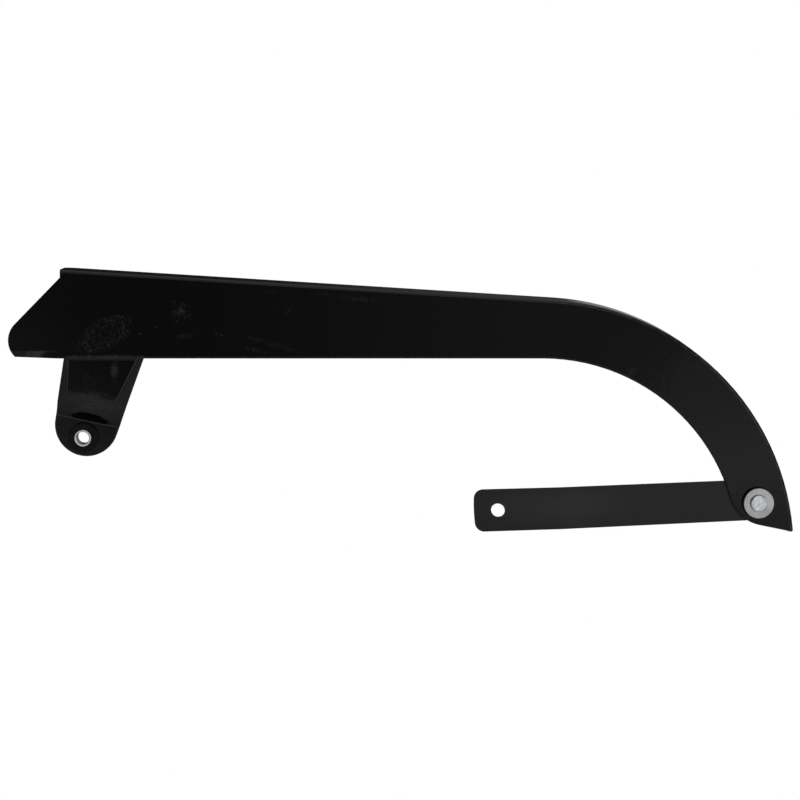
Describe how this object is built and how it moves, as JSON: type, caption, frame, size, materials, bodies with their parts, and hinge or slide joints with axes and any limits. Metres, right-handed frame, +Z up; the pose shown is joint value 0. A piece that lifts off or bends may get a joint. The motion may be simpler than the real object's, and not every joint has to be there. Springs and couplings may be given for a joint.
{
  "type": "motorcycle chain guard",
  "caption": "Folded steel chain guard with a curved tail, a rubber-mounted front bracket and a riveted swinging strap for the rear fixing.",
  "frame": {"origin": "centre of the front sleeve's bore at the sleeve's inboard end", "axes": "+X along the guard towards its tail, +Y inboard towards the wheel, +Z up"},
  "size_m": [0.5348, 0.0349, 0.1803],
  "materials": {
    "gloss_black": "gloss",
    "satin_black": "satin",
    "zinc": "satin",
    "rivet_steel": "bright",
    "rubber": "matt"
  },
  "bodies": {
    "guard": {"guard_shell": "gloss_black", "front_bracket": "gloss_black", "mount_grommet": "rubber", "mount_sleeve": "zinc", "pivot_rivet": "rivet_steel", "pivot_washer": "zinc"},
    "strap": {"rear_strap": "satin_black"}
  },
  "joints": [
    {"name": "strap_pivot", "type": "hinge", "parent": "guard", "child": "strap", "pos_m": [0.46204, -0.01795, -0.04365], "axis": [0, 1, 0], "range_deg": [-108, 40]}
  ]
}
